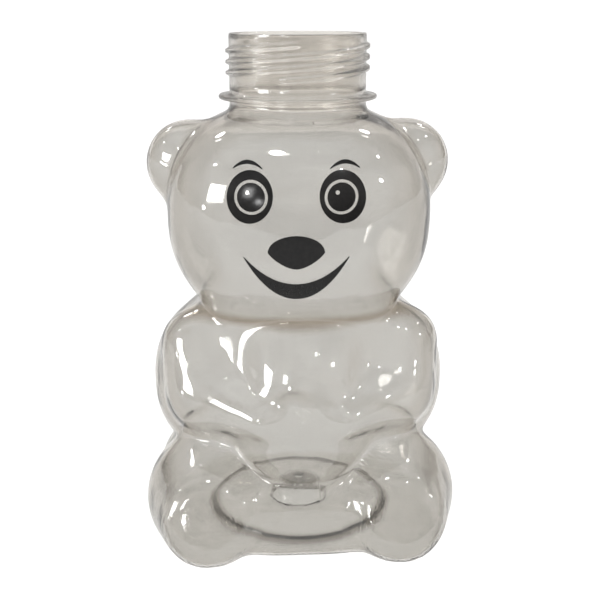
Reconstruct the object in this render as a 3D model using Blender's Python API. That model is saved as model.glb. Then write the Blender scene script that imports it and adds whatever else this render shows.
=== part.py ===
"""Clear bear-shaped drinking bottle with a printed face.

Units are metres, +Z is up and the bear faces -Y. The origin is on the ground, under the middle of the
bottle's overall width and depth. The bottle is one stretch-blown shell: a threaded neck with a support ring,
and a body whose head, ears, torso, belly, arms, legs and tail are rounded volumes that flow into each other.
The face is printed on the head in dark ink, each mark a thin film of its own. Left and right are as seen from
the front.

Points in this file are measured from the neck's axis. The whole part is moved back or forward once, at the
end.
"""

import collections
import math

import bmesh
import bpy
import numpy as np

# Overall size: the rim's height, the width across the thighs and the depth from the soles to the tail
RIM_HEIGHT = 0.1600
BODY_WIDTH = 0.1022
BODY_DEPTH = 0.0904

# Neck, which takes a screw lid
NECK_RADIUS = 0.0213
NECK_WALL = 0.0018
RIM_ROUNDING = 0.0004
THREAD_STARTS = 3
THREAD_PITCH = 0.0033
THREAD_DEPTH = 0.0011
THREAD_WIDTH = 0.0024
THREAD_TURNS = 1.05
THREAD_TOP_DROP = 0.0028
THREAD_RUN_OUT = math.radians(22)
THREAD_TO_RING = 0.0030
RING_DROP = 0.0190
RING_RADIUS = 0.0247
RING_ROOT_THICKNESS = 0.0018
RING_EDGE_THICKNESS = 0.0012

# Head
HEAD_CENTRE = (0.0, -0.0020, 0.1054)
HEAD_HALF = (0.0416, 0.0385, 0.0343)
HEAD_SQUARENESS = 2.46
EAR_CENTRE = (0.0343, -0.0020, 0.1205)
EAR_HALF = (0.0135, 0.0105, 0.0135)

# Torso, belly, the upright volume that evens out the back, and hips
TORSO_CENTRE = (0.0, 0.0045, 0.0475)
TORSO_HALF = (BODY_WIDTH / 2 - 0.0025, 0.0325, 0.0312)
TORSO_SQUARENESS = 2.48
BELLY_CENTRE = (0.0, -0.0150, 0.0450)
BELLY_HALF = (0.0240, 0.0260, 0.0340)
BELLY_SQUARENESS = 2.1
BACK_CENTRE = (0.0, 0.0060, 0.0550)
BACK_HALF = (0.0300, 0.0290, 0.0620)
BACK_SQUARENESS = 4.0
HIPS_CENTRE = (0.0, 0.0, 0.0100)
HIPS_HALF = (BODY_WIDTH / 2 - 0.0027, 0.0395, 0.0220)
HIPS_SQUARENESS = 2.76

# Right arm, from the shoulder over the elbow to the paw on the belly
SHOULDER = (0.0338, -0.0110, 0.0637)
SHOULDER_RADIUS = 0.0108
ELBOW = (0.0300, -0.0170, 0.0490)
ELBOW_RADIUS = 0.0120
PAW = (0.0129, -0.0358, 0.0464)
PAW_RADIUS = 0.0056

# Hollow between the right arm and the chest, which narrows downwards
ARMPIT_TOP = (0.0285, -0.0285, 0.0790)
ARMPIT_TOP_RADIUS = 0.0115
ARMPIT_END = (0.0200, -0.0360, 0.0545)
ARMPIT_END_RADIUS = 0.0045

# Tail, a round bump low on the back
TAIL_CENTRE = (0.0, 0.0370, 0.0170)
TAIL_RADIUS = 0.0070

# Right leg, from the thigh to the flat sole, which is turned a little outwards and leans back
THIGH_RADIUS = 0.0233
THIGH = (BODY_WIDTH / 2 - THIGH_RADIUS, -0.0150, 0.0115)
FOOT_RADIUS = 0.0146
SOLE_BULGE = 0.0022
SOLE_Y = TAIL_CENTRE[1] + TAIL_RADIUS - BODY_DEPTH + SOLE_BULGE
SOLE_TURN = math.radians(3)
SOLE_LEAN = 0.36
FOOT = (THIGH[0] + 0.0022, SOLE_Y + 0.0067, 0.0136)

# How wide the rounding is where two volumes meet
CREASE = 0.0050
LIMB_CREASE = 0.0032
EAR_CREASE = 0.0055
CHIN_CREASE = 0.0030
WAIST_CREASE = 0.0090
ARM_CREASE = 0.0075
TAIL_CREASE = 0.0070
ARM_BEND = 0.0060
SOLE_CREASE = 0.0080
BACK_CREASE = 0.0140
NECK_CREASE = 0.0030

# Base: a standing ring round a raised floor, which falls a little towards the dome in its middle
BASE_RADIUS = 0.0300
STEP_HEIGHT = 0.0030
STEP_WIDTH = 0.0020
FLOOR_RISE = -0.0012
DOME_RADIUS = 0.0086
DOME_RISE = 0.0067

# Wall of the blown body and of its base
WALL = 0.0008
BASE_WALL = 0.0014

# Printed face, which sits a few degrees off the middle of the moulded front
PRINT_TURN = math.radians(-3.5)
PRINT_GAP = 0.0002
PRINT_THICKNESS = 0.00025
EYE_X = 0.0128
EYE_Z = 0.1161
PUPIL_RADIUS = 0.0040
RING_GAP = 0.0008
PATCH_SIDE_WIDTH = 0.0018
PATCH_TOP_WIDTH = 0.0026
PATCH_HALF = (PUPIL_RADIUS + RING_GAP + PATCH_SIDE_WIDTH, PUPIL_RADIUS + RING_GAP + PATCH_TOP_WIDTH)
PATCH_OFFSET_X = 0.0004
PATCH_TILT = math.radians(11)
GLINT_RADIUS = 0.0006
GLINT_OFFSET = (-0.0011, 0.0013)
BROW_OFFSET_X = 0.0010
BROW_LIFT = 0.0079
BROW_X = EYE_X + BROW_OFFSET_X
BROW_Z = EYE_Z + BROW_LIFT
BROW_HALF_WIDTH = 0.0042
BROW_RISE = 0.0021
BROW_THICKNESS = 0.0011
NOSE_Z = 0.1003
NOSE_HALF_WIDTH = 0.0082
NOSE_HALF_HEIGHT = 0.0050
NOSE_HALF = (NOSE_HALF_WIDTH, NOSE_HALF_HEIGHT)
NOSE_TAPER = 0.38
MOUTH_CORNER_DROP = 0.0013
MOUTH_CORNER_THICKNESS = 0.0004
MOUTH_DROP = 0.0098
MOUTH_THICKNESS = 0.0052
MOUTH_HALF_WIDTH = 0.0152
MOUTH_CORNER = (MOUTH_HALF_WIDTH, NOSE_Z - MOUTH_CORNER_DROP)
MOUTH_TOP_Z = NOSE_Z - MOUTH_DROP
MOUTH_BOTTOM_Z = MOUTH_TOP_Z - MOUTH_THICKNESS

# How finely the shell and the films are divided, and how much of the shell's division is kept
COLUMNS = 96
RAY_TOP_ORIGIN = 0.1120
RAY_FOOT_ORIGIN = 0.0200
SHOULDER_ROWS = 14
WALL_ROWS = 60
HEEL_ROWS = 10
THREAD_ROWS = 26
FILM_COLUMNS = 24
SHELL_KEPT = 0.30


def ellipsoid(p, centre, half, squareness=2.0):
    """Signed distance, near the surface, to an ellipsoid, or to one with squarer sections."""
    half = np.array(half)
    q = np.abs(p - np.array(centre)) / half
    q = np.maximum(q, 1e-6)
    size = (q**squareness).sum(axis=-1) ** (1.0 / squareness)
    slope = (q / size[..., None]) ** (squareness - 1.0) / half
    return (size - 1.0) / np.linalg.norm(slope, axis=-1)


def limb(p, start, start_radius, end, end_radius):
    """Signed distance to a round limb that tapers from one ball to another."""
    length = math.dist(start, end)
    axis = (np.array(end) - np.array(start)) / length
    taper = (start_radius - end_radius) / length
    reach = (p - np.array(start)) @ axis
    aside = np.linalg.norm(p - np.array(start) - reach[..., None] * axis, axis=-1)
    along = np.clip(reach - aside * taper / math.sqrt(1 - taper**2), 0.0, length)
    middle = np.array(start) + along[..., None] * axis
    return np.linalg.norm(p - middle, axis=-1) - (start_radius - taper * along)


def join(a, b, width):
    """Two volumes as one, with a rounded crease where they meet."""
    share = np.maximum(width - np.abs(a - b), 0.0) / width
    return np.minimum(a, b) - share**3 * width / 6.0


def cut(a, b, width):
    """What lies in both volumes, with a rounded edge where they meet."""
    return -join(-a, -b, width)


def body_field(p):
    """Signed distance from each point to the outside of the bottle's body."""
    # The body is the same on both sides, so one ear, arm and leg serve for two.
    p = np.stack([np.abs(p[..., 0]), p[..., 1], p[..., 2]], axis=-1)
    head = ellipsoid(p, HEAD_CENTRE, HEAD_HALF, HEAD_SQUARENESS)
    head = join(head, ellipsoid(p, EAR_CENTRE, EAR_HALF), EAR_CREASE)
    trunk = ellipsoid(p, TORSO_CENTRE, TORSO_HALF, TORSO_SQUARENESS)
    trunk = join(trunk, ellipsoid(p, HIPS_CENTRE, HIPS_HALF, HIPS_SQUARENESS), WAIST_CREASE)
    trunk = join(trunk, ellipsoid(p, BELLY_CENTRE, BELLY_HALF, BELLY_SQUARENESS), LIMB_CREASE)
    armpit = limb(p, ARMPIT_TOP, ARMPIT_TOP_RADIUS, ARMPIT_END, ARMPIT_END_RADIUS)
    trunk = cut(trunk, -armpit, CREASE)
    upper_arm = limb(p, SHOULDER, SHOULDER_RADIUS, ELBOW, ELBOW_RADIUS)
    forearm = limb(p, ELBOW, ELBOW_RADIUS, PAW, PAW_RADIUS)
    trunk = join(trunk, join(upper_arm, forearm, ARM_BEND), ARM_CREASE)
    sole = (
        (p[..., 0] - FOOT[0]) * math.sin(SOLE_TURN)
        - (p[..., 1] - SOLE_Y) * math.cos(SOLE_TURN)
        + (p[..., 2] - FOOT[2]) * SOLE_LEAN
    ) / math.hypot(1.0, SOLE_LEAN)
    leg = cut(limb(p, THIGH, THIGH_RADIUS, FOOT, FOOT_RADIUS), sole, SOLE_CREASE)
    trunk = join(trunk, leg, LIMB_CREASE)
    tail = np.linalg.norm(p - np.array(TAIL_CENTRE), axis=-1) - TAIL_RADIUS
    trunk = join(trunk, tail, TAIL_CREASE)
    neck = np.maximum(np.hypot(p[..., 0], p[..., 1]) - NECK_RADIUS, HEAD_CENTRE[2] - p[..., 2])
    back = ellipsoid(p, BACK_CENTRE, BACK_HALF, BACK_SQUARENESS)
    whole = join(join(join(head, trunk, CHIN_CREASE), back, BACK_CREASE), neck, NECK_CREASE)
    return cut(whole, -p[..., 2], LIMB_CREASE)


def surface_at(origins, directions, reach=0.080, step=0.0008):
    """Where each ray, looked along from outside towards its origin, first meets the body."""
    travel = np.full(len(origins), reach)
    for _ in range(int(reach / step)):
        outside = body_field(origins + directions * travel[:, None]) > 0
        if not outside.any():
            break
        travel[outside] -= step
    near, far = travel, travel + step
    for _ in range(20):
        middle = (near + far) / 2
        inside = body_field(origins + directions * middle[:, None]) < 0
        near = np.where(inside, middle, near)
        far = np.where(inside, far, middle)
    return origins + directions * near[:, None]


def normals_at(points, step=0.00005):
    """Unit normals of the body's outside at points on it."""
    slope = np.empty_like(points)
    for axis in range(3):
        shift = np.zeros(3)
        shift[axis] = step
        slope[:, axis] = body_field(points + shift) - body_field(points - shift)
    return slope / np.linalg.norm(slope, axis=1, keepdims=True)


def turns(count):
    """The angle of each column round the neck's axis, starting at the front."""
    return -math.pi / 2 + np.arange(count) * 2 * math.pi / count


def body_rings():
    """Rings of points down the body's outside and inside, from the neck's root to the standing ring."""
    root_height = RIM_HEIGHT - RING_DROP - RING_ROOT_THICKNESS / 2 - RIM_ROUNDING
    top_pitch = math.atan2(root_height - RAY_TOP_ORIGIN, NECK_RADIUS)
    foot_pitch = -math.atan2(RAY_FOOT_ORIGIN, BASE_RADIUS)
    drop = RAY_TOP_ORIGIN - RAY_FOOT_ORIGIN
    rows = [(RAY_TOP_ORIGIN, top_pitch * (1 - i / SHOULDER_ROWS)) for i in range(SHOULDER_ROWS)]
    rows += [(RAY_TOP_ORIGIN - drop * i / WALL_ROWS, 0.0) for i in range(WALL_ROWS)]
    rows += [(RAY_FOOT_ORIGIN, foot_pitch * i / HEEL_ROWS) for i in range(HEEL_ROWS + 1)]
    height, pitch = (np.repeat(values, COLUMNS) for values in np.array(rows).T)
    angle = np.tile(turns(COLUMNS), len(rows))
    origins = np.stack([np.zeros_like(height), np.zeros_like(height), height], axis=1)
    directions = np.stack(
        [np.cos(pitch) * np.cos(angle), np.cos(pitch) * np.sin(angle), np.sin(pitch)], axis=1
    )
    outside = surface_at(origins, directions)
    # The wall thickens from the crown of the head up to the neck, which isn't blown.
    crown = HEAD_CENTRE[2] + HEAD_HALF[2] * 0.7
    rise = np.clip((outside[:, 2] - crown) / (root_height - crown), 0.0, 1.0)
    thickness = WALL + (NECK_WALL - WALL) * rise[:, None] ** 2
    inside = outside - normals_at(outside) * thickness
    shape = (len(rows), COLUMNS, 3)
    return outside.reshape(shape), inside.reshape(shape)


def thread_height(angle, z):
    """How far the screw thread stands out of the neck at this angle and height."""
    lead = THREAD_STARTS * THREAD_PITCH
    length = THREAD_TURNS * 2 * math.pi
    height = 0.0
    for start in range(THREAD_STARTS):
        behind = (-math.pi / 2 + start * 2 * math.pi / THREAD_STARTS - angle) % (2 * math.pi)
        while behind < length:
            middle = RIM_HEIGHT - THREAD_TOP_DROP - lead * behind / (2 * math.pi)
            off = min(abs(z - middle) / (THREAD_WIDTH / 2), 1.0)
            bead = min(1.0, 0.7 + 0.7 * math.cos(math.pi * off))
            run_out = min(1.0, behind / THREAD_RUN_OUT, (length - behind) / THREAD_RUN_OUT)
            height = max(height, THREAD_DEPTH * bead * run_out)
            behind += 2 * math.pi
    return height


def neck_rings():
    """Rings of points down the neck's outside, from the rim to the underside of the support ring."""
    ring = RIM_HEIGHT - RING_DROP
    top = RIM_HEIGHT - 2 * RIM_ROUNDING
    bottom = ring + RING_ROOT_THICKNESS / 2 + THREAD_TO_RING
    profile = [
        (NECK_RADIUS - RIM_ROUNDING, RIM_HEIGHT),
        (NECK_RADIUS, RIM_HEIGHT - RIM_ROUNDING),
    ]
    profile += [
        (NECK_RADIUS, top + (bottom - top) * i / THREAD_ROWS) for i in range(THREAD_ROWS + 1)
    ]
    profile += [
        (NECK_RADIUS, ring + RING_ROOT_THICKNESS / 2),
        (RING_RADIUS, ring + RING_EDGE_THICKNESS / 2),
        (RING_RADIUS, ring - RING_EDGE_THICKNESS / 2),
        (NECK_RADIUS, ring - RING_ROOT_THICKNESS / 2),
    ]
    rings = round_rings(profile)
    for ring_points in rings[2 : 3 + THREAD_ROWS]:
        for point, angle in zip(ring_points, turns(COLUMNS)):
            grow = 1 + thread_height(angle, point[2]) / NECK_RADIUS
            point[:2] *= grow
    return rings


def base_rings(lift):
    """Rings of points over the base, from the standing ring to the dome, lifted by lift."""
    floor = STEP_HEIGHT + FLOOR_RISE
    profile = [
        (BASE_RADIUS - STEP_WIDTH * 0.25, STEP_HEIGHT * 0.15),
        (BASE_RADIUS - STEP_WIDTH * 0.5, STEP_HEIGHT * 0.5),
        (BASE_RADIUS - STEP_WIDTH * 0.75, STEP_HEIGHT * 0.85),
        (BASE_RADIUS - STEP_WIDTH, STEP_HEIGHT),
        (DOME_RADIUS * 1.5, floor),
        (DOME_RADIUS * 1.1, floor + DOME_RISE * 0.19),
        (DOME_RADIUS * 0.9, floor + DOME_RISE * 0.73),
        (DOME_RADIUS * 0.65, floor + DOME_RISE * 0.95),
        (DOME_RADIUS * 0.35, floor + DOME_RISE),
    ]
    return round_rings([(radius, height + lift) for radius, height in profile])


def round_rings(profile):
    angle = turns(COLUMNS)
    return np.array(
        [
            np.stack([r * np.cos(angle), r * np.sin(angle), np.full(COLUMNS, z)], axis=1)
            for r, z in profile
        ]
    )


def mesh_object(name, bm, material):
    bmesh.ops.recalc_face_normals(bm, faces=bm.faces)
    mesh = bpy.data.meshes.new(name)
    bm.to_mesh(mesh)
    bm.free()
    mesh.shade_smooth()
    mesh.set_sharp_from_angle(angle=math.radians(50))
    mesh.materials.append(material)
    made = bpy.data.objects.new(name, mesh)
    bpy.context.scene.collection.objects.link(made)
    return made


def skin(bm, rings):
    """Faces between neighbouring rings of vertices."""
    for upper, lower in zip(rings, rings[1:]):
        for i in range(COLUMNS):
            j = (i + 1) % COLUMNS
            bm.faces.new((upper[i], lower[i], lower[j], upper[j]))


def make_bottle(material):
    bm = bmesh.new()
    body_outside, body_inside = body_rings()
    bore = NECK_RADIUS - NECK_WALL
    outside = np.concatenate([neck_rings(), body_outside, base_rings(0.0)])
    inside = np.concatenate(
        [
            round_rings([(bore, RIM_HEIGHT), (bore, RIM_HEIGHT - RING_DROP / 2)]),
            body_inside[:-1],
            base_rings(BASE_WALL),
        ]
    )
    dome = STEP_HEIGHT + FLOOR_RISE + DOME_RISE
    rims = []
    for rings, peak in ((outside, dome), (inside, dome + BASE_WALL)):
        made = [[bm.verts.new(point) for point in ring] for ring in rings]
        rims.append(made[0])
        skin(bm, made)
        middle = bm.verts.new((0.0, 0.0, peak))
        for i in range(COLUMNS):
            bm.faces.new((made[-1][i], middle, made[-1][(i + 1) % COLUMNS]))
    skin(bm, rims)
    fine = mesh_object("fine_shell", bm, material)
    fewer = fine.modifiers.new("fewer_faces", "DECIMATE")
    fewer.ratio = SHELL_KEPT
    fewer.use_collapse_triangulate = True
    evaluated = fine.evaluated_get(bpy.context.evaluated_depsgraph_get())
    mesh = bpy.data.meshes.new_from_object(evaluated)
    bpy.data.objects.remove(fine)
    # The standing ring and the rim are flat, whatever the thinning moved.
    for vertex in mesh.vertices:
        for height in (0.0, RIM_HEIGHT):
            if abs(vertex.co.z - height) < RIM_ROUNDING / 4:
                vertex.co.z = height
    mesh.name = "bottle"
    bottle = bpy.data.objects.new("bottle", mesh)
    bpy.context.scene.collection.objects.link(bottle)
    return bottle


def face_points(marks, lift):
    """Points of the printed face, given as (across, height), set on the head and lifted off it."""
    marks = np.array(marks)
    across = np.array((math.cos(PRINT_TURN), math.sin(PRINT_TURN), 0.0))
    forward = np.array((math.sin(PRINT_TURN), -math.cos(PRINT_TURN), 0.0))
    origins = marks[:, :1] * across + marks[:, 1:] * np.array((0.0, 0.0, 1.0))
    points = surface_at(origins, np.tile(forward, (len(marks), 1)))
    return points + normals_at(points) * lift


def make_film(name, rows, closed, material):
    """A film of ink over a grid of marks, whose rows run from one edge of the mark to the other.

    A closed row comes back to its own start. A first row of one mark is the middle of a filled shape.
    """
    marks = [mark for row in rows for mark in row]
    starts = np.cumsum([0] + [len(row) for row in rows])
    faces = []
    for row, (a, b) in enumerate(zip(rows, rows[1:])):
        for i in range(len(b) - (not closed)):
            j = (i + 1) % len(b)
            lower = (starts[row + 1] + i, starts[row + 1] + j)
            upper = (starts[row],) if len(a) == 1 else (starts[row] + j, starts[row] + i)
            faces.append(lower + upper)
    bm = bmesh.new()
    under = [bm.verts.new(point) for point in face_points(marks, PRINT_GAP)]
    over = [bm.verts.new(point) for point in face_points(marks, PRINT_GAP + PRINT_THICKNESS)]
    edges = collections.Counter()
    for face in faces:
        bm.faces.new([over[i] for i in face])
        bm.faces.new([under[i] for i in reversed(face)])
        edges.update(frozenset(pair) for pair in zip(face, face[1:] + face[:1]))
    for edge, uses in edges.items():
        if uses == 1:
            a, b = edge
            bm.faces.new((over[a], over[b], under[b], under[a]))
    return mesh_object(name, bm, material)


def loop(centre, half, tilt=0.0, taper=0.0):
    """Marks round an oval that may lean to one side and grow narrower downwards."""
    marks = []
    for i in range(FILM_COLUMNS):
        angle = 2 * math.pi * i / FILM_COLUMNS
        u = half[0] * math.cos(angle) * (1 + taper * min(math.sin(angle), 0.0))
        v = half[1] * math.sin(angle)
        marks.append(
            (
                centre[0] + u * math.cos(tilt) - v * math.sin(tilt),
                centre[1] + u * math.sin(tilt) + v * math.cos(tilt),
            )
        )
    return marks


def between(inner, outer, steps):
    """Rows of marks that lead from one row to another."""
    rows = []
    for i in range(steps + 1):
        t = i / steps
        rows.append(
            [(a + (c - a) * t, b + (d - b) * t) for (a, b), (c, d) in zip(inner, outer)]
        )
    return rows


def arc(middle_x, half_width, end_z, middle_z):
    """Marks along a shallow arc."""
    marks = []
    for i in range(FILM_COLUMNS + 1):
        t = 2 * i / FILM_COLUMNS - 1
        marks.append((middle_x + half_width * t, middle_z + (end_z - middle_z) * t * t))
    return marks


def make_face(ink):
    for side, word in ((-1, "left"), (1, "right")):
        eye = (side * EYE_X, EYE_Z)
        patch = (side * (EYE_X + PATCH_OFFSET_X), EYE_Z)
        hole = (PUPIL_RADIUS + RING_GAP,) * 2
        outline = loop(patch, PATCH_HALF, tilt=side * PATCH_TILT)
        make_film(f"{word}_eye_patch_print", between(loop(eye, hole), outline, 2), True, ink)
        glint = (eye[0] + GLINT_OFFSET[0], eye[1] + GLINT_OFFSET[1])
        hole = (GLINT_RADIUS,) * 2
        pupil = (PUPIL_RADIUS,) * 2
        make_film(f"{word}_pupil_print", between(loop(glint, hole), loop(eye, pupil), 3), True, ink)
        top = arc(side * BROW_X, BROW_HALF_WIDTH, BROW_Z, BROW_Z + BROW_RISE)
        bottom = arc(
            side * BROW_X, BROW_HALF_WIDTH, BROW_Z - BROW_THICKNESS / 3, BROW_Z + BROW_RISE - BROW_THICKNESS
        )
        make_film(f"{word}_brow_print", between(bottom, top, 1), False, ink)
    nose = loop((0.0, NOSE_Z), NOSE_HALF, taper=NOSE_TAPER)
    middle = [(0.0, NOSE_Z)]
    filled = between(middle * FILM_COLUMNS, nose, 4)
    make_film("nose_print", [middle] + filled[1:], True, ink)
    half_width, corner = MOUTH_CORNER
    upper = arc(0.0, half_width, corner, MOUTH_TOP_Z)
    lower = arc(0.0, half_width, corner - MOUTH_CORNER_THICKNESS, MOUTH_BOTTOM_Z)
    make_film("mouth_print", between(lower, upper, 2), False, ink)


def finish(name, colour, roughness, transmission=0.0):
    material = bpy.data.materials.new(name)
    material.use_nodes = True
    shader = material.node_tree.nodes["Principled BSDF"]
    shader.inputs["Base Color"].default_value = (*colour, 1.0)
    shader.inputs["Roughness"].default_value = roughness
    shader.inputs["Metallic"].default_value = 0.0
    shader.inputs["Transmission Weight"].default_value = transmission
    return material


def main():
    for old in list(bpy.data.objects):
        bpy.data.objects.remove(old)
    bottle = make_bottle(finish("clear_pet", (0.72, 0.71, 0.69), 0.03, transmission=1.0))
    make_face(finish("black_ink", (0.02, 0.02, 0.02), 0.35))
    depths = [vertex.co.y for vertex in bottle.data.vertices]
    for made in bpy.data.objects:
        made.location.y = -(min(depths) + max(depths)) / 2


main()
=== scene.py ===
import math

import bmesh
import bpy
import numpy as np
from mathutils import Matrix, Vector


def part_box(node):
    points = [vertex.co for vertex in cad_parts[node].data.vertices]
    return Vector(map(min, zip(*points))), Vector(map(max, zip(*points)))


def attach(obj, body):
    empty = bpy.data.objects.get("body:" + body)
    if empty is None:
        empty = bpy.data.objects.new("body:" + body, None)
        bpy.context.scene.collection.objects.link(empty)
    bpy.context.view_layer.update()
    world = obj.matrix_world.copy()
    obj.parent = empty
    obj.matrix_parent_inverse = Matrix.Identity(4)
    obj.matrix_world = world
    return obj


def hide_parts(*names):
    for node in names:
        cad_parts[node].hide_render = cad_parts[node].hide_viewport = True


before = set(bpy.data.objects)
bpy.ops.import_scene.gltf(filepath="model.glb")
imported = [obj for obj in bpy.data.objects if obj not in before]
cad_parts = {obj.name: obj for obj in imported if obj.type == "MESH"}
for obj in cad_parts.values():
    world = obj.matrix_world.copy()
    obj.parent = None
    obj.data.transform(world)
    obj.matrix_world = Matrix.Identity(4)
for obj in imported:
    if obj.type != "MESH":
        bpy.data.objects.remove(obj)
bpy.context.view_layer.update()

# Camera. A phone held about a foot in front of the face, level with the rim and looking down at the belly.
# It stands a little to the left of the moulded front, so the left foot is the nearer one.
AXIS_TO_BACK = 0.0441
CAMERA_DISTANCE = 0.310
CAMERA_HEIGHT = 0.1682
CAMERA_AZIMUTH = math.radians(-2.8)
CAMERA_PITCH = math.radians(-16.9)
CAMERA_YAW = math.radians(-0.11)
CAMERA_ROLL = math.radians(-0.1)
CAMERA_LENS = 58.32
CAMERA_CLIP = 0.01
NECK_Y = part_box("bottle")[1].y - AXIS_TO_BACK

camera_data = bpy.data.cameras.new("camera")
camera_data.lens = CAMERA_LENS
camera_data.clip_start = CAMERA_CLIP
camera = bpy.data.objects.new("camera", camera_data)
bpy.context.scene.collection.objects.link(camera)
camera.matrix_world = (
    Matrix.Translation((0.0, NECK_Y, 0.0))
    @ Matrix.Rotation(CAMERA_AZIMUTH, 4, "Z")
    @ Matrix.Translation((0.0, -CAMERA_DISTANCE, CAMERA_HEIGHT))
    @ Matrix.Rotation(CAMERA_YAW, 4, "Z")
    @ Matrix.Rotation(math.pi / 2 + CAMERA_PITCH, 4, "X")
    @ Matrix.Rotation(CAMERA_ROLL, 4, "Z")
)
bpy.context.scene.camera = camera
bpy.context.scene.view_settings.view_transform = "Standard"

# Room. Soft daylight from every side, stronger overhead, and warmer and dimmer low down.
# It is broken up by what stands in the room, so that the clear plastic has something to bend and reflect.
# The camera itself sees plain white beyond the paper.
ROOM_LOWEST = -0.3
ROOM_OVERHEAD = 0.80
ROOM_AT_EYE_LEVEL = 0.42
ROOM_WALL_COLOUR = (1.0, 0.94, 0.88, 1.0)
ROOM_SKY_COLOUR = (0.99, 1.0, 1.0, 1.0)
ROOM_PATCH_SCALE = 1.8
ROOM_PATCH_DETAIL = 1.0
ROOM_PATCH_SPREAD = (0.35, 0.65)
ROOM_PATCH_RANGE = (0.55, 1.45)
PLAIN_WHITE = (1.0, 1.0, 1.0, 1.0)


def give(tree, value, socket):
    """Feeds a socket from another node's output, or sets it to a plain value."""
    if isinstance(value, bpy.types.NodeSocket):
        tree.links.new(value, socket)
    else:
        socket.default_value = value


def calculate(tree, operation, *values):
    """The result of a maths node that works on outputs or plain numbers."""
    node = tree.nodes.new("ShaderNodeMath")
    node.operation = operation
    for value, socket in zip(values, node.inputs):
        give(tree, value, socket)
    return node.outputs[0]


def ramp(tree, value, start, end, low=0.0, high=1.0, smooth=False):
    """Low where a value is at its start, high where it is at its end, and a slope between."""
    node = tree.nodes.new("ShaderNodeMapRange")
    node.interpolation_type = "SMOOTHSTEP" if smooth else "LINEAR"
    tree.links.new(value, node.inputs["Value"])
    for name, number in (("From Min", start), ("From Max", end), ("To Min", low), ("To Max", high)):
        node.inputs[name].default_value = number
    return node.outputs["Result"]


def cloud(tree, place, scale, detail):
    """Soft noise over these coordinates, about 0.5 on the whole."""
    node = tree.nodes.new("ShaderNodeTexNoise")
    tree.links.new(place, node.inputs["Vector"])
    node.inputs["Scale"].default_value = scale
    node.inputs["Detail"].default_value = detail
    return node.outputs["Fac"]


def tinted(tree, colour, tint, share):
    """A colour with a share of a tint mixed into it."""
    node = tree.nodes.new("ShaderNodeMix")
    node.data_type = "RGBA"
    give(tree, share, node.inputs["Factor"])
    give(tree, colour, node.inputs["A"])
    give(tree, tint, node.inputs["B"])
    return node.outputs["Result"]


world = bpy.data.worlds.new("room")
bpy.context.scene.world = world
world.use_nodes = True
tree = world.node_tree
around = tree.nodes.new("ShaderNodeTexCoord").outputs["Generated"]
split = tree.nodes.new("ShaderNodeSeparateXYZ")
tree.links.new(around, split.inputs[0])
upwards = split.outputs["Z"]
glow = ramp(tree, upwards, ROOM_LOWEST, 1.0, ROOM_AT_EYE_LEVEL, ROOM_OVERHEAD)
patches = cloud(tree, around, ROOM_PATCH_SCALE, ROOM_PATCH_DETAIL)
unevenness = ramp(tree, patches, *ROOM_PATCH_SPREAD, *ROOM_PATCH_RANGE)
room = tree.nodes["Background"]
tree.links.new(tinted(tree, ROOM_WALL_COLOUR, ROOM_SKY_COLOUR, upwards), room.inputs["Color"])
tree.links.new(calculate(tree, "MULTIPLY", glow, unevenness), room.inputs["Strength"])
plain = tree.nodes.new("ShaderNodeBackground")
plain.inputs["Color"].default_value = PLAIN_WHITE
path = tree.nodes.new("ShaderNodeLightPath")
surroundings = tree.nodes.new("ShaderNodeMixShader")
tree.links.new(path.outputs["Is Camera Ray"], surroundings.inputs["Fac"])
tree.links.new(room.outputs[0], surroundings.inputs[1])
tree.links.new(plain.outputs[0], surroundings.inputs[2])
tree.links.new(surroundings.outputs[0], tree.nodes["World Output"].inputs["Surface"])

# Lamps. Small and bright ones, because clear plastic shows little of a lamp but its reflection.
# Each has its place in degrees to the right of the front and degrees up, its width and its radiance.
LAMPS = {
    "front_lamp": (-20, 9, 4.0, 35.0),
    "ceiling_lamp": (-20, 68, 6.0, 25.0),
    "back_left_lamp": (-142, 42, 6.0, 25.0),
    "back_right_lamp": (138, 50, 6.0, 25.0),
    "right_lamp": (60, 24, 4.0, 35.0),
    "far_right_lamp": (82, 46, 3.0, 35.0),
    "high_right_lamp": (28, 44, 3.0, 30.0),
    "far_left_lamp": (-84, 38, 3.0, 35.0),
}


def direction(turn, rise):
    """The way towards a lamp, from degrees to the right of the front and degrees up."""
    turn, rise = math.radians(turn), math.radians(rise)
    return Vector((math.sin(turn) * math.cos(rise), -math.cos(turn) * math.cos(rise), math.sin(rise)))


for name, (turn, rise, across, radiance) in LAMPS.items():
    light = bpy.data.lights.new(name, "SUN")
    light.angle = math.radians(across)
    solid_angle = 2 * math.pi * (1 - math.cos(light.angle / 2))
    light.energy = radiance * solid_angle
    lamp = bpy.data.objects.new(name, light)
    lamp.rotation_euler = direction(turn, rise).to_track_quat("Z", "Y").to_euler()
    bpy.context.scene.collection.objects.link(lamp)

# Windows. Larger sources of light, whose outlines show as bent panes on the plastic.
# Each has an outline, its place in degrees as the lamps have, and its width and height in metres.
WINDOW_DISTANCE = 3.0
WINDOW_RADIANCE = 16.0
WINDOWS = {
    "window": ("RECTANGLE", -62, 16, 0.95, 0.80),
    "narrow_window": ("RECTANGLE", -29, 20, 0.34, 0.50),
    "table_lamp": ("ELLIPSE", -74, 3, 0.30, 0.22),
}

for name, (outline, turn, rise, across, upright) in WINDOWS.items():
    light = bpy.data.lights.new(name, "AREA")
    light.shape = outline
    light.size = across
    light.size_y = upright
    light.energy = WINDOW_RADIANCE * math.pi * across * upright
    window = bpy.data.objects.new(name, light)
    window.location = direction(turn, rise) * WINDOW_DISTANCE
    window.rotation_euler = direction(turn, rise).to_track_quat("Z", "Y").to_euler()
    bpy.context.scene.collection.objects.link(window)

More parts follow.
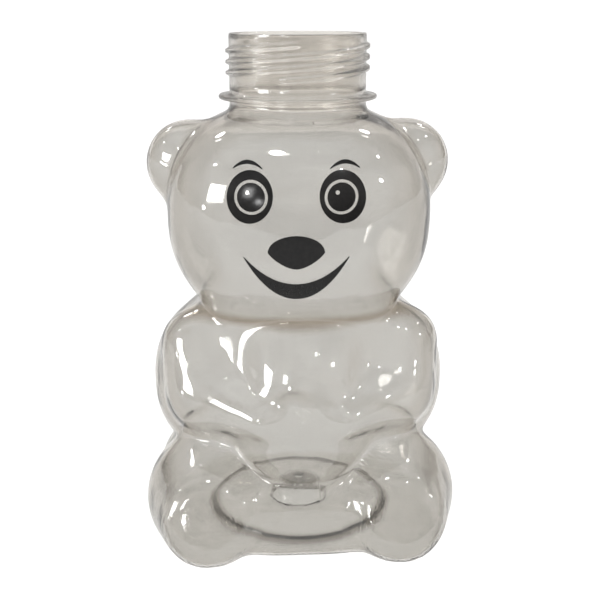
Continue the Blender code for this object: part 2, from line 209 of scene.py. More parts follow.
# Paper. One white sheet, flat under the bottle and swept up far behind it, which takes the bottle's shadow.
# What the camera sees of it, also through the plastic, is lifted to plain white.
PAPER_COLOUR = (0.80, 0.80, 0.80, 1.0)
PAPER_REACH = 14.0
PAPER_FRONT = 0.50
PAPER_SWEEP = 3.0
PAPER_STEPS = 12
FLOOR_LIFT = 0.33
BACKDROP_LIFT = 0.80
sweep_start = PAPER_REACH - PAPER_SWEEP
flat_run = [(-PAPER_FRONT, 0.0), (sweep_start, 0.0)]
rising_run = []
for i in range(PAPER_STEPS + 1):
    bend = math.pi / 2 * i / PAPER_STEPS
    rising_run.append((sweep_start + PAPER_SWEEP * math.sin(bend), PAPER_SWEEP * (1 - math.cos(bend))))

for name, lifted, run in (("floor", FLOOR_LIFT, flat_run), ("backdrop", BACKDROP_LIFT, rising_run)):
    sheet = bpy.data.meshes.new(name)
    edges = [(side * PAPER_REACH, y, z) for y, z in run for side in (-1, 1)]
    strips = [(2 * i, 2 * i + 1, 2 * i + 3, 2 * i + 2) for i in range(len(run) - 1)]
    sheet.from_pydata(edges, [], strips)
    sheet.shade_smooth()
    stage = bpy.data.objects.new(name, sheet)
    bpy.context.scene.collection.objects.link(stage)
    paper = bpy.data.materials.new(name + "_paper")
    paper.use_nodes = True
    tree = paper.node_tree
    tree.nodes.clear()
    output = tree.nodes.new("ShaderNodeOutputMaterial")
    diffuse = tree.nodes.new("ShaderNodeBsdfDiffuse")
    diffuse.inputs["Color"].default_value = PAPER_COLOUR
    lift = tree.nodes.new("ShaderNodeEmission")
    both = tree.nodes.new("ShaderNodeAddShader")
    path = tree.nodes.new("ShaderNodeLightPath")
    seen = calculate(tree, "MAXIMUM", path.outputs["Is Camera Ray"], path.outputs["Is Transmission Ray"])
    tree.links.new(calculate(tree, "MULTIPLY", seen, lifted), lift.inputs["Strength"])
    tree.links.new(diffuse.outputs[0], both.inputs[0])
    tree.links.new(lift.outputs[0], both.inputs[1])
    tree.links.new(both.outputs[0], output.inputs["Surface"])
    sheet.materials.append(paper)

# Bottle body. One shell of clear PET, stretch-blown in a two-part mould from a threaded preform.
# Head, ears, torso, belly, arms, legs and tail are rounded volumes that the mould runs into each other.
HEAD_CENTRE = (0.0, -0.0020, 0.1054)
HEAD_HALF = (0.0416, 0.0385, 0.0343)
HEAD_SQUARENESS = 2.46
EAR_CENTRE = (0.0343, -0.0020, 0.1205)
EAR_HALF = (0.0135, 0.0105, 0.0135)
TORSO_CENTRE = (0.0, 0.0045, 0.0475)
TORSO_HALF = (0.0486, 0.0325, 0.0312)
TORSO_SQUARENESS = 2.48
BELLY_CENTRE = (0.0, -0.0150, 0.0450)
BELLY_HALF = (0.0240, 0.0260, 0.0340)
BELLY_SQUARENESS = 2.1
BACK_CENTRE = (0.0, 0.0060, 0.0550)
BACK_HALF = (0.0300, 0.0290, 0.0620)
BACK_SQUARENESS = 4.0
BACK_BLEND = 0.0140
HIPS_CENTRE = (0.0, 0.0, 0.0100)
HIPS_HALF = (0.0484, 0.0395, 0.0220)
HIPS_SQUARENESS = 2.76
SHOULDER = (0.0338, -0.0110, 0.0637)
SHOULDER_RADIUS = 0.0108
ELBOW = (0.0300, -0.0170, 0.0490)
ELBOW_RADIUS = 0.0120
PAW = (0.0129, -0.0358, 0.0464)
PAW_RADIUS = 0.0056
ARMPIT_TOP = (0.0285, -0.0285, 0.0790)
ARMPIT_TOP_RADIUS = 0.0115
ARMPIT_END = (0.0200, -0.0360, 0.0545)
ARMPIT_END_RADIUS = 0.0045
THIGH = (0.0278, -0.0150, 0.0115)
THIGH_RADIUS = 0.0233
FOOT = (0.0300, -0.0375, 0.0136)
FOOT_RADIUS = 0.0146
SOLE_Y = -0.0442
SOLE_TURN = math.radians(3)
SOLE_LEAN = 0.36
SOLE_CREASE = 0.0080
TAIL_CENTRE = (0.0, 0.0370, 0.0170)
TAIL_RADIUS = 0.0070
ARMPIT_CREASE = 0.0050
LIMB_CREASE = 0.0032
EAR_CREASE = 0.0055
CHIN_CREASE = 0.0030
WAIST_CREASE = 0.0090
ARM_CREASE = 0.0075
TAIL_CREASE = 0.0070
ARM_BEND = 0.0060
NECK_CREASE = 0.0030
RIM_HEIGHT = 0.1600
NECK_RADIUS = 0.0213
NECK_WALL = 0.0018
RING_DROP = 0.0190
RING_ROOT_THICKNESS = 0.0018
RING_FILLET = 0.0004
BASE_RADIUS = 0.0300
WALL = 0.0008
CROWN_SHARE = 0.7
COLUMNS = 180
RAY_TOP_ORIGIN = 0.1120
RAY_FOOT_ORIGIN = 0.0200
SHOULDER_ROWS = 26
WALL_ROWS = 124
HEEL_ROWS = 20
SHARP_ANGLE = math.radians(48)
NEARLY_ZERO = 1e-6


def ellipsoid(p, centre, half, squareness=2.0):
    """Signed distance, near the surface, to an ellipsoid, or to one with squarer sections."""
    half = np.array(half)
    q = np.maximum(np.abs(p - np.array(centre)) / half, NEARLY_ZERO)
    size = (q**squareness).sum(axis=-1) ** (1.0 / squareness)
    slope = (q / size[..., None]) ** (squareness - 1.0) / half
    return (size - 1.0) / np.linalg.norm(slope, axis=-1)


def limb(p, start, start_radius, end, end_radius):
    """Signed distance to a round limb that tapers from one ball to another."""
    length = math.dist(start, end)
    axis = (np.array(end) - np.array(start)) / length
    taper = (start_radius - end_radius) / length
    reach = (p - np.array(start)) @ axis
    aside = np.linalg.norm(p - np.array(start) - reach[..., None] * axis, axis=-1)
    along = np.clip(reach - aside * taper / math.sqrt(1 - taper**2), 0.0, length)
    nearest = np.array(start) + along[..., None] * axis
    return np.linalg.norm(p - nearest, axis=-1) - (start_radius - taper * along)


def join(a, b, width):
    """Two volumes as one, with a rounded crease where they meet."""
    share = np.maximum(width - np.abs(a - b), 0.0) / width
    return np.minimum(a, b) - share**3 * width / 6.0


def cut(a, b, width):
    """What lies in both volumes, with a rounded edge where they meet."""
    return -join(-a, -b, width)


def body_field(p):
    """Signed distance from each point to the outside of the blown body, measured from the neck's axis."""
    p = np.stack([np.abs(p[..., 0]), p[..., 1], p[..., 2]], axis=-1)
    head = ellipsoid(p, HEAD_CENTRE, HEAD_HALF, HEAD_SQUARENESS)
    head = join(head, ellipsoid(p, EAR_CENTRE, EAR_HALF), EAR_CREASE)
    trunk = ellipsoid(p, TORSO_CENTRE, TORSO_HALF, TORSO_SQUARENESS)
    trunk = join(trunk, ellipsoid(p, HIPS_CENTRE, HIPS_HALF, HIPS_SQUARENESS), WAIST_CREASE)
    trunk = join(trunk, ellipsoid(p, BELLY_CENTRE, BELLY_HALF, BELLY_SQUARENESS), LIMB_CREASE)
    armpit = limb(p, ARMPIT_TOP, ARMPIT_TOP_RADIUS, ARMPIT_END, ARMPIT_END_RADIUS)
    trunk = cut(trunk, -armpit, ARMPIT_CREASE)
    upper_arm = limb(p, SHOULDER, SHOULDER_RADIUS, ELBOW, ELBOW_RADIUS)
    forearm = limb(p, ELBOW, ELBOW_RADIUS, PAW, PAW_RADIUS)
    trunk = join(trunk, join(upper_arm, forearm, ARM_BEND), ARM_CREASE)
    sole = (
        (p[..., 0] - FOOT[0]) * math.sin(SOLE_TURN)
        - (p[..., 1] - SOLE_Y) * math.cos(SOLE_TURN)
        + (p[..., 2] - FOOT[2]) * SOLE_LEAN
    ) / math.hypot(1.0, SOLE_LEAN)
    leg = cut(limb(p, THIGH, THIGH_RADIUS, FOOT, FOOT_RADIUS), sole, SOLE_CREASE)
    trunk = join(trunk, leg, LIMB_CREASE)
    tail = np.linalg.norm(p - np.array(TAIL_CENTRE), axis=-1) - TAIL_RADIUS
    trunk = join(trunk, tail, TAIL_CREASE)
    neck = np.maximum(np.hypot(p[..., 0], p[..., 1]) - NECK_RADIUS, HEAD_CENTRE[2] - p[..., 2])
    back = ellipsoid(p, BACK_CENTRE, BACK_HALF, BACK_SQUARENESS)
    whole = join(join(join(head, trunk, CHIN_CREASE), back, BACK_BLEND), neck, NECK_CREASE)
    return cut(whole, -p[..., 2], LIMB_CREASE)


def surface_at(origins, directions, reach=0.070, step=0.0010, halvings=14):
    """Where each ray, looked along from outside towards its origin, first meets the body."""
    travel = np.full(len(origins), reach)
    searching = np.arange(len(origins))
    while len(searching):
        points = origins[searching] + directions[searching] * travel[searching, None]
        searching = searching[body_field(points) > 0]
        travel[searching] -= step
    near, far = travel, travel + step
    for _ in range(halvings):
        halfway = (near + far) / 2
        inside = body_field(origins + directions * halfway[:, None]) < 0
        near = np.where(inside, halfway, near)
        far = np.where(inside, far, halfway)
    return origins + directions * near[:, None]


def normals_at(points, step=0.00005):
    """Unit normals of the body's outside at points on it."""
    slope = np.empty_like(points)
    for axis in range(3):
        shift = np.zeros(3)
        shift[axis] = step
        slope[:, axis] = body_field(points + shift) - body_field(points - shift)
    return slope / np.linalg.norm(slope, axis=1, keepdims=True)


turns = -math.pi / 2 + np.arange(COLUMNS) * 2 * math.pi / COLUMNS
ring_height = RIM_HEIGHT - RING_DROP
root_height = ring_height - RING_ROOT_THICKNESS / 2 - RING_FILLET
top_pitch = math.atan2(root_height - RAY_TOP_ORIGIN, NECK_RADIUS)
foot_pitch = -math.atan2(RAY_FOOT_ORIGIN, BASE_RADIUS)
rows = [(RAY_TOP_ORIGIN, top_pitch * (1 - i / SHOULDER_ROWS)) for i in range(SHOULDER_ROWS)]
ray_drop = RAY_FOOT_ORIGIN - RAY_TOP_ORIGIN
rows += [(RAY_TOP_ORIGIN + ray_drop * i / WALL_ROWS, 0.0) for i in range(WALL_ROWS)]
rows += [(RAY_FOOT_ORIGIN, foot_pitch * i / HEEL_ROWS) for i in range(HEEL_ROWS + 1)]
row_height, row_pitch = (np.repeat(values, COLUMNS) for values in np.array(rows).T)
row_turn = np.tile(turns, len(rows))
origins = np.stack([np.zeros_like(row_height), np.zeros_like(row_height), row_height], axis=1)
directions = np.stack(
    [np.cos(row_pitch) * np.cos(row_turn), np.cos(row_pitch) * np.sin(row_turn), np.sin(row_pitch)], axis=1
)
body_outside = surface_at(origins, directions)
# The wall thickens from the crown of the head up to the neck, which isn't blown.
crown = HEAD_CENTRE[2] + HEAD_HALF[2] * CROWN_SHARE
rise = np.clip((body_outside[:, 2] - crown) / (root_height - crown), 0.0, 1.0)
wall = WALL + (NECK_WALL - WALL) * rise[:, None] ** 2
body_inside = body_outside - normals_at(body_outside) * wall
body_outside = body_outside.reshape(len(rows), COLUMNS, 3)
body_inside = body_inside.reshape(len(rows), COLUMNS, 3)

# Neck. The preform's own wall, moulded thick and not blown, with three thread starts and a support ring.
# A screw lid would turn down the thread until it meets the ring.
RIM_ROUNDING = 0.0004
RIM_BEVEL = 0.00012
THREAD_STARTS = 3
THREAD_PITCH = 0.0033
THREAD_DEPTH = 0.0011
THREAD_WIDTH = 0.0024
THREAD_FULLNESS = 0.7
THREAD_TURNS = 1.05
THREAD_TOP_DROP = 0.0028
THREAD_RUN_OUT = math.radians(9)
THREAD_TO_RING = 0.0030
THREAD_ROWS = 84
RING_RADIUS = 0.0247
RING_EDGE_THICKNESS = 0.0012
RING_EDGE_ROUNDING = 0.0003
BORE_ROWS = 12


def round_rings(profile):
    """Rings of points round the neck's axis, one for each (radius, height)."""
    return np.array(
        [np.stack([r * np.cos(turns), r * np.sin(turns), np.full(COLUMNS, z)], axis=1) for r, z in profile]
    )


def thread_height(angle, z):
    """How far the screw thread stands out of the neck at this angle and height."""
    lead = THREAD_STARTS * THREAD_PITCH
    length = THREAD_TURNS * 2 * math.pi
    height = 0.0
    for start in range(THREAD_STARTS):
        behind = (-math.pi / 2 + start * 2 * math.pi / THREAD_STARTS - angle) % (2 * math.pi)
        while behind < length:
            centre = RIM_HEIGHT - THREAD_TOP_DROP - lead * behind / (2 * math.pi)
            off = min(abs(z - centre) / (THREAD_WIDTH / 2), 1.0)
            bead = min(1.0, THREAD_FULLNESS * (1 + math.cos(math.pi * off)))
            run_out = min(1.0, behind / THREAD_RUN_OUT, (length - behind) / THREAD_RUN_OUT)
            height = max(height, THREAD_DEPTH * bead * run_out)
            behind += 2 * math.pi
    return height


ring_top = ring_height + RING_EDGE_THICKNESS / 2
ring_bottom = ring_height - RING_EDGE_THICKNESS / 2
root_top = ring_height + RING_ROOT_THICKNESS / 2
root_bottom = ring_height - RING_ROOT_THICKNESS / 2
thread_top = RIM_HEIGHT - 2 * RIM_ROUNDING
thread_bottom = root_top + THREAD_TO_RING
rim_profile = [
    (NECK_RADIUS - RIM_ROUNDING, RIM_HEIGHT),
    (NECK_RADIUS - RIM_BEVEL, RIM_HEIGHT - RIM_BEVEL),
]
thread_drop = thread_bottom - thread_top
thread_profile = [(NECK_RADIUS, thread_top + thread_drop * i / THREAD_ROWS) for i in range(THREAD_ROWS + 1)]
ring_profile = [
    (NECK_RADIUS, root_top + RING_FILLET),
    (NECK_RADIUS + RING_FILLET, root_top),
    (RING_RADIUS - RING_EDGE_ROUNDING, ring_top),
    (RING_RADIUS, ring_top - RING_EDGE_ROUNDING),
    (RING_RADIUS, ring_bottom + RING_EDGE_ROUNDING),
    (RING_RADIUS - RING_EDGE_ROUNDING, ring_bottom),
    (NECK_RADIUS + RING_EDGE_ROUNDING, root_bottom),
]
neck_outside = round_rings(rim_profile + thread_profile + ring_profile)
threaded = slice(len(rim_profile), len(rim_profile) + len(thread_profile))
for ring in neck_outside[threaded]:
    for point, angle in zip(ring, turns):
        point[:2] *= 1 + thread_height(angle, point[2]) / NECK_RADIUS
bore = NECK_RADIUS - NECK_WALL
bore_heights = np.linspace(RIM_HEIGHT - RIM_ROUNDING, ring_height, BORE_ROWS)
neck_inside = round_rings([(bore + RIM_ROUNDING, RIM_HEIGHT)] + [(bore, z) for z in bore_heights])

# Base. The mould pushes it up inside a standing ring, and the preform's gate leaves a nub on the dome.
# The raised floor keeps the bottle from rocking, and its plastic is thicker than the walls.
STEP_HEIGHT = 0.0012
STEP_WIDTH = 0.0010
STEP_ROWS = 8
FLOOR_RISE = 0.0006
FLOOR_INNER_RADIUS = 0.0129
FLOOR_ROWS = 5
DOME_RADIUS = 0.0086
DOME_RISE = 0.0067
DOME_FOOT = 1.15
DOME_CROWN = 0.15
DOME_LAST_RING = 0.20
DOME_FULLNESS = 0.6
DOME_ROWS = 16
GATE_RADIUS = 0.0016
GATE_SHOULDER_RADIUS = 0.00144
GATE_MIDDLE_RADIUS = 0.00064
GATE_EDGE_HEIGHT = 0.0002
GATE_HEIGHT_OUTSIDE = 0.0003
GATE_HEIGHT_INSIDE = 0.0004
BASE_WALL = 0.0014
floor_edge = BASE_RADIUS - STEP_WIDTH
floor_height = STEP_HEIGHT + FLOOR_RISE
base_profile = []
for i in range(1, STEP_ROWS + 1):
    t = i / STEP_ROWS
    base_profile.append((BASE_RADIUS - STEP_WIDTH * t, STEP_HEIGHT * (0.5 - 0.5 * math.cos(math.pi * t))))
floor_run = FLOOR_INNER_RADIUS - floor_edge
for i in range(1, FLOOR_ROWS):
    t = i / FLOOR_ROWS
    base_profile.append((floor_edge + floor_run * t, STEP_HEIGHT + FLOOR_RISE * t))
for t in np.linspace(DOME_FOOT, DOME_LAST_RING, DOME_ROWS):
    swell = max(1 - max(t - DOME_CROWN, 0.0) ** 2, 0.0) ** DOME_FULLNESS
    base_profile.append((DOME_RADIUS * t, floor_height + DOME_RISE * swell))


def base_rings(lift, gate_height):
    """Rings of points over the base, and over the nub on its dome, raised by this lift."""
    dome_top = base_profile[-1][1] + lift
    nub = [
        (GATE_RADIUS, dome_top + GATE_EDGE_HEIGHT),
        (GATE_SHOULDER_RADIUS, dome_top + gate_height),
        (GATE_MIDDLE_RADIUS, dome_top + gate_height),
    ]
    return round_rings([(radius, height + lift) for radius, height in base_profile] + nub)


base_outside = base_rings(0.0, GATE_HEIGHT_OUTSIDE)
base_inside = base_rings(BASE_WALL, GATE_HEIGHT_INSIDE)
shell_outside = np.concatenate([neck_outside, body_outside, base_outside])
shell_inside = np.concatenate([neck_inside, body_inside[:-1], base_inside])
shell = bmesh.new()
rims = []
for rings in (shell_outside, shell_inside):
    made = [[shell.verts.new(point + np.array((0.0, NECK_Y, 0.0))) for point in ring] for ring in rings]
    rims.append(made[0])
    for upper, lower in zip(made, made[1:]):
        for i in range(COLUMNS):
            j = (i + 1) % COLUMNS
            shell.faces.new((upper[i], lower[i], lower[j], upper[j]))
    shell.faces.new(made[-1])
for i in range(COLUMNS):
    j = (i + 1) % COLUMNS
    shell.faces.new((rims[0][i], rims[0][j], rims[1][j], rims[1][i]))
bmesh.ops.recalc_face_normals(shell, faces=shell.faces)
bottle_mesh = bpy.data.meshes.new("clear_bottle")
shell.to_mesh(bottle_mesh)
shell.free()
bottle_mesh.shade_smooth()
bottle_mesh.set_sharp_from_angle(angle=SHARP_ANGLE)
bottle = bpy.data.objects.new("clear_bottle", bottle_mesh)
bpy.context.scene.collection.objects.link(bottle)

# Clear PET. Nearly colourless plastic that greys what is seen through it. It greys it more where the wall is
# seen edge-on and in the thick neck. Painted shade darkens the front of the fold under the chin, and the
# ring that the bottle stands on is darker, partly from its thicker plastic and partly from painted contact
# shade.
# The wall has slight waves, and the two mould halves leave a fine line up the front and the back.
PET_COLOUR = (0.690, 0.682, 0.662, 1.0)
PET_NECK_COLOUR = (0.700, 0.676, 0.638, 1.0)
# The ring colour is partly the thicker plastic's tint and partly painted contact shade.
PET_RING_TINT_AND_SHADE = (0.230, 0.205, 0.180, 1.0)
# The chin colour is painted shade for the front of the fold under the chin.
PET_CHIN_SHADE = (0.420, 0.370, 0.310, 1.0)
PET_EDGE_COLOUR = (0.520, 0.485, 0.435, 1.0)
PET_SHADOW_COLOUR = (0.985, 0.985, 0.980, 1.0)
PET_IOR = 1.57
NECK_BLEND_START = ring_height - 0.0060
NECK_BLEND_END = ring_height - 0.0010
RING_TINT_AND_SHADE_REACH = 0.0030
CHIN_HEIGHT = 0.0752
CHIN_SHADE_REACH = 0.0036
CHIN_SHADE_NONE_Y = NECK_Y + 0.0050
CHIN_SHADE_FULL_Y = NECK_Y - 0.0100
EDGE_BLEND = 0.5
EDGE_SPREAD = (0.15, 0.85)
NECK_EDGE_SHARE = 0.10
HAZE_SCALE = 240.0
HAZE_DETAIL = 3.0
HAZE_SPREAD = (0.35, 0.75)
HAZE_ROUGHNESS = (0.015, 0.060)
UNBLOWN_ROUGHNESS = 0.11
WAVE_SCALE = 55.0
WAVE_DETAIL = 1.5
WAVE_DEPTH = 0.0010
WAVE_HEIGHTS = (0.0800, 0.0700)
WAVE_STRENGTHS = (0.50, 0.70)
STREAK_SCALE = (1400.0, 1400.0, 45.0)
STREAK_DETAIL = 1.0
STREAK_DEPTH = 0.00012
STREAK_HEIGHTS = (0.0260, 0.0080)
STREAK_STRENGTHS = (0.0, 0.55)
PARTING_TURN = math.radians(7.7)
PARTING_HALF_WIDTH = 0.00035
PARTING_DEPTH = 0.00012
PARTING_STRENGTH = 0.2


def nearness(tree, value, middle, reach):
    """1 where a value lies at the middle, fading smoothly to 0 at this reach from it."""
    off = calculate(tree, "ABSOLUTE", calculate(tree, "SUBTRACT", value, middle))
    return ramp(tree, off, 0.0, reach, 1.0, 0.0, smooth=True)


def vector_step(tree, operation, vector, other, result):
    """What a vector gives with another, fixed vector."""
    node = tree.nodes.new("ShaderNodeVectorMath")
    node.operation = operation
    node.inputs[1].default_value = other
    tree.links.new(vector, node.inputs[0])
    return node.outputs[result]


def embossed(tree, height, depth, strength, under=None):
    """Normals of a surface that rises with this height, over those of the relief under it."""
    node = tree.nodes.new("ShaderNodeBump")
    node.inputs["Distance"].default_value = depth
    give(tree, height, node.inputs["Height"])
    give(tree, strength, node.inputs["Strength"])
    if under:
        tree.links.new(under, node.inputs["Normal"])
    return node.outputs["Normal"]


pet = bpy.data.materials.new("clear_pet")
pet.use_nodes = True
tree = pet.node_tree
plastic = tree.nodes["Principled BSDF"]
plastic.inputs["Transmission Weight"].default_value = 1.0
plastic.inputs["IOR"].default_value = PET_IOR
place = tree.nodes.new("ShaderNodeTexCoord").outputs["Object"]
parts = tree.nodes.new("ShaderNodeSeparateXYZ")
tree.links.new(place, parts.inputs[0])
height = parts.outputs["Z"]

facing = tree.nodes.new("ShaderNodeLayerWeight")
facing.inputs["Blend"].default_value = EDGE_BLEND
in_neck = ramp(tree, height, NECK_BLEND_START, NECK_BLEND_END)
from_middle = vector_step(tree, "DISTANCE", place, (0.0, NECK_Y, 0.0), "Value")
# Painted contact shade, together with the thicker plastic's tint, in a band round the standing ring.
in_ring = nearness(tree, from_middle, BASE_RADIUS - STEP_WIDTH / 2, RING_TINT_AND_SHADE_REACH)
# Painted shade in the front half of the fold under the chin.
in_front = ramp(tree, parts.outputs["Y"], CHIN_SHADE_NONE_Y, CHIN_SHADE_FULL_Y)
at_chin = nearness(tree, height, CHIN_HEIGHT, CHIN_SHADE_REACH)
chin_shade = calculate(tree, "MULTIPLY", at_chin, in_front)
edge_on = ramp(tree, facing.outputs["Facing"], *EDGE_SPREAD)
edge_weight = ramp(tree, height, NECK_BLEND_START, NECK_BLEND_END, 1.0, NECK_EDGE_SHARE)
colour = tinted(tree, PET_COLOUR, PET_NECK_COLOUR, in_neck)
colour = tinted(tree, colour, PET_RING_TINT_AND_SHADE, in_ring)
colour = tinted(tree, colour, PET_CHIN_SHADE, chin_shade)
colour = tinted(tree, colour, PET_EDGE_COLOUR, calculate(tree, "MULTIPLY", edge_on, edge_weight))
tree.links.new(colour, plastic.inputs["Base Color"])

haze = ramp(tree, cloud(tree, place, HAZE_SCALE, HAZE_DETAIL), *HAZE_SPREAD, *HAZE_ROUGHNESS)
unblown = calculate(tree, "MAXIMUM", in_neck, in_ring)
roughness = calculate(tree, "MULTIPLY_ADD", unblown, UNBLOWN_ROUGHNESS, haze)
tree.links.new(roughness, plastic.inputs["Roughness"])

wave_strength = ramp(tree, height, *WAVE_HEIGHTS, *WAVE_STRENGTHS)
waves = embossed(tree, cloud(tree, place, WAVE_SCALE, WAVE_DETAIL), WAVE_DEPTH, wave_strength)
drawn = vector_step(tree, "MULTIPLY", place, STREAK_SCALE, "Vector")
on_heel = ramp(tree, height, *STREAK_HEIGHTS, *STREAK_STRENGTHS)
streaks = embossed(tree, cloud(tree, drawn, 1.0, STREAK_DETAIL), STREAK_DEPTH, on_heel, waves)
across_line = (math.cos(PARTING_TURN), math.sin(PARTING_TURN), 0.0)
off_line = vector_step(tree, "DOT_PRODUCT", place, across_line, "Value")
line = nearness(tree, off_line, NECK_Y * math.sin(PARTING_TURN), PARTING_HALF_WIDTH)
relief = embossed(tree, line, PARTING_DEPTH, PARTING_STRENGTH, streaks)
tree.links.new(relief, plastic.inputs["Normal"])

see_through = tree.nodes.new("ShaderNodeBsdfTransparent")
see_through.inputs["Color"].default_value = PET_SHADOW_COLOUR
path = tree.nodes.new("ShaderNodeLightPath")
lit_through = tree.nodes.new("ShaderNodeMixShader")
lighting = calculate(tree, "MAXIMUM", path.outputs["Is Shadow Ray"], path.outputs["Is Diffuse Ray"])
tree.links.new(lighting, lit_through.inputs["Fac"])
tree.links.new(plastic.outputs[0], lit_through.inputs[1])
tree.links.new(see_through.outputs[0], lit_through.inputs[2])
tree.links.new(lit_through.outputs[0], tree.nodes["Material Output"].inputs["Surface"])
bottle_mesh.materials.append(pet)
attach(bottle, "root")
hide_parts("bottle")

# Eye patches. Black ink, screened on the head in a flat oval that leaves a clear ring round each pupil.
# The print sits a few degrees off the middle of the moulded front, as such prints do.
PRINT_TURN = math.radians(-3.5)
PRINT_GAP = 0.00004
PRINT_THICKNESS = 0.00006
FILM_COLUMNS = 72
FILM_SHARP_ANGLE = math.radians(50)
FILM_MERGE = 0.000001
EYE_X = 0.0128
EYE_Z = 0.1161
PATCH_HALF = (0.0066, 0.0074)
PATCH_OFFSET_X = 0.0004
PATCH_TILT = math.radians(11)
PATCH_ROWS = 5
RING_GAP = 0.0008
PUPIL_RADIUS = 0.0040
INK_DARK = (0.0085, 0.0085, 0.0090, 1.0)
INK_THIN = (0.0125, 0.0122, 0.0122, 1.0)
INK_SPECULAR = 0.3
INK_GRAIN_SCALE = 900.0
INK_GRAIN_DETAIL = 4.0
INK_SHADE_SPREAD = (0.35, 0.70)
INK_ROUGHNESS = (0.10, 0.18)
INK_GRAIN_DEPTH = 0.00003
INK_GRAIN_STRENGTH = 0.05

ink = bpy.data.materials.new("black_ink")
ink.use_nodes = True
tree = ink.node_tree
coat = tree.nodes["Principled BSDF"]
coat.inputs["Specular IOR Level"].default_value = INK_SPECULAR
place = tree.nodes.new("ShaderNodeTexCoord").outputs["Object"]
grains = cloud(tree, place, INK_GRAIN_SCALE, INK_GRAIN_DETAIL)
shade = tinted(tree, INK_DARK, INK_THIN, ramp(tree, grains, *INK_SHADE_SPREAD))
tree.links.new(shade, coat.inputs["Base Color"])
tree.links.new(ramp(tree, grains, 0.0, 1.0, *INK_ROUGHNESS), coat.inputs["Roughness"])
tree.links.new(embossed(tree, grains, INK_GRAIN_DEPTH, INK_GRAIN_STRENGTH), coat.inputs["Normal"])


def face_points(marks, lift):
    """Points of the printed face, given as (across, height), set on the head and lifted off it."""
    marks = np.array(marks)
    across = np.array((math.cos(PRINT_TURN), math.sin(PRINT_TURN), 0.0))
    forward = np.array((math.sin(PRINT_TURN), -math.cos(PRINT_TURN), 0.0))
    starts = marks[:, :1] * across + marks[:, 1:] * np.array((0.0, 0.0, 1.0))
    points = surface_at(starts, np.tile(forward, (len(marks), 1)))
    return points + normals_at(points) * lift + np.array((0.0, NECK_Y, 0.0))


def print_mark(name, mark_rows, closed):
    """A film of ink whose rows of marks run from one edge to the other, in place of the part's own mark."""
    count = len(mark_rows[0])
    marks = [mark for row in mark_rows for mark in row]
    film = bmesh.new()
    under = [film.verts.new(point) for point in face_points(marks, PRINT_GAP)]
    over = [film.verts.new(point) for point in face_points(marks, PRINT_GAP + PRINT_THICKNESS)]
    for row in range(len(mark_rows) - 1):
        for i in range(count - (not closed)):
            j = (i + 1) % count
            a, b = row * count, (row + 1) * count
            film.faces.new((over[b + i], over[b + j], over[a + j], over[a + i]))
            film.faces.new((under[a + i], under[a + j], under[b + j], under[b + i]))
    above = dict(zip(under, over))
    for edge in [edge for edge in film.edges if len(edge.link_faces) == 1]:
        a, b = edge.verts
        if a in above and b in above:
            film.faces.new((a, b, above[b], above[a]))
    bmesh.ops.remove_doubles(film, verts=film.verts, dist=FILM_MERGE)
    bmesh.ops.recalc_face_normals(film, faces=film.faces)
    mesh = bpy.data.meshes.new(name)
    film.to_mesh(mesh)
    film.free()
    mesh.shade_smooth()
    mesh.set_sharp_from_angle(angle=FILM_SHARP_ANGLE)
    mesh.materials.append(ink)
    made = bpy.data.objects.new(name + "_ink", mesh)
    bpy.context.scene.collection.objects.link(made)
    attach(made, "root")
    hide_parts(name)


def loop(centre, half, tilt=0.0, taper=0.0):
    """Marks round an oval that may lean to one side and grow narrower downwards."""
    marks = []
    for i in range(FILM_COLUMNS):
        angle = 2 * math.pi * i / FILM_COLUMNS
        u = half[0] * math.cos(angle) * (1 + taper * min(math.sin(angle), 0.0))
        v = half[1] * math.sin(angle)
        turned = (u * math.cos(tilt) - v * math.sin(tilt), u * math.sin(tilt) + v * math.cos(tilt))
        marks.append((centre[0] + turned[0], centre[1] + turned[1]))
    return marks


def between(inner, outer, steps):
    """Rows of marks that lead from one row to another."""
    shares = [i / steps for i in range(steps + 1)]
    return [[(a + (c - a) * t, b + (d - b) * t) for (a, b), (c, d) in zip(inner, outer)] for t in shares]


for side, word in ((-1, "left"), (1, "right")):
    clear_ring = loop((side * EYE_X, EYE_Z), (PUPIL_RADIUS + RING_GAP,) * 2)
    outline = loop((side * (EYE_X + PATCH_OFFSET_X), EYE_Z), PATCH_HALF, tilt=side * PATCH_TILT)
    print_mark(f"{word}_eye_patch_print", between(clear_ring, outline, PATCH_ROWS), closed=True)

# Pupils. Round black ink inside the clear rings, each with a small round glint left unprinted.
# They are screened on the head in the same pass as the patches.
GLINT_RADIUS = 0.0006
GLINT_OFFSET = (-0.0011, 0.0013)
PUPIL_ROWS = 7

for side, word in ((-1, "left"), (1, "right")):
    glint = loop((side * EYE_X + GLINT_OFFSET[0], EYE_Z + GLINT_OFFSET[1]), (GLINT_RADIUS,) * 2)
    pupil = loop((side * EYE_X, EYE_Z), (PUPIL_RADIUS,) * 2)
    print_mark(f"{word}_pupil_print", between(glint, pupil, PUPIL_ROWS), closed=True)

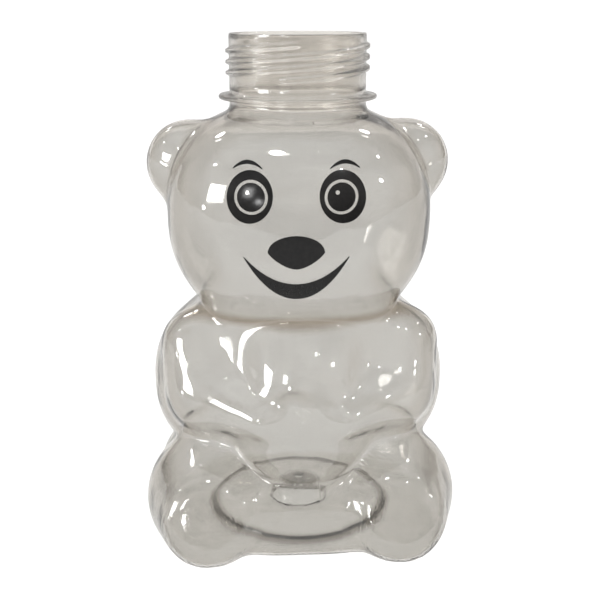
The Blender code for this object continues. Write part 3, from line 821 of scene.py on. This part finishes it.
# Brows. A short arc above each eye, thickest in its middle.
# They are the same black ink, screened with the rest of the face.
BROW_X = 0.0138
BROW_Z = 0.1240
BROW_HALF_WIDTH = 0.0042
BROW_RISE = 0.0021
BROW_THICKNESS = 0.0011
BROW_END_THICKNESS = BROW_THICKNESS / 3
BROW_ROWS = 3
ARC_STEPS = 40


def arc(middle_x, half_width, end_z, middle_z):
    """Marks along a shallow arc."""
    spans = [2 * i / ARC_STEPS - 1 for i in range(ARC_STEPS + 1)]
    return [(middle_x + half_width * t, middle_z + (end_z - middle_z) * t * t) for t in spans]


for side, word in ((-1, "left"), (1, "right")):
    top_z = BROW_Z + BROW_RISE
    lower = arc(side * BROW_X, BROW_HALF_WIDTH, BROW_Z - BROW_END_THICKNESS, top_z - BROW_THICKNESS)
    upper = arc(side * BROW_X, BROW_HALF_WIDTH, BROW_Z, top_z)
    print_mark(f"{word}_brow_print", between(lower, upper, BROW_ROWS), closed=False)

# Nose. A filled oval of the same black ink, narrower below than above.
# It is screened on the flattest place of the head, under the eyes.
NOSE_Z = 0.1003
NOSE_HALF = (0.0082, 0.0050)
NOSE_MIDDLE_HALF = (0.00001, 0.00001)
NOSE_TAPER = 0.38
NOSE_ROWS = 8
nose_middle = loop((0.0, NOSE_Z), NOSE_MIDDLE_HALF)
nose_outline = loop((0.0, NOSE_Z), NOSE_HALF, taper=NOSE_TAPER)
print_mark("nose_print", between(nose_middle, nose_outline, NOSE_ROWS), closed=True)

# Mouth. A plain closed smile, screened as a crescent of black ink between two arcs.
# Its corners run thin, and it is the lowest mark of the print.
MOUTH_HALF_WIDTH = 0.0152
MOUTH_CORNER_Z = 0.0990
MOUTH_CORNER_THICKNESS = BROW_END_THICKNESS
MOUTH_TOP_Z = 0.0905
MOUTH_BOTTOM_Z = 0.0853
MOUTH_ROWS = 6
lower_lip = arc(0.0, MOUTH_HALF_WIDTH, MOUTH_CORNER_Z - MOUTH_CORNER_THICKNESS, MOUTH_BOTTOM_Z)
upper_lip = arc(0.0, MOUTH_HALF_WIDTH, MOUTH_CORNER_Z, MOUTH_TOP_Z)
print_mark("mouth_print", between(lower_lip, upper_lip, MOUTH_ROWS), closed=False)
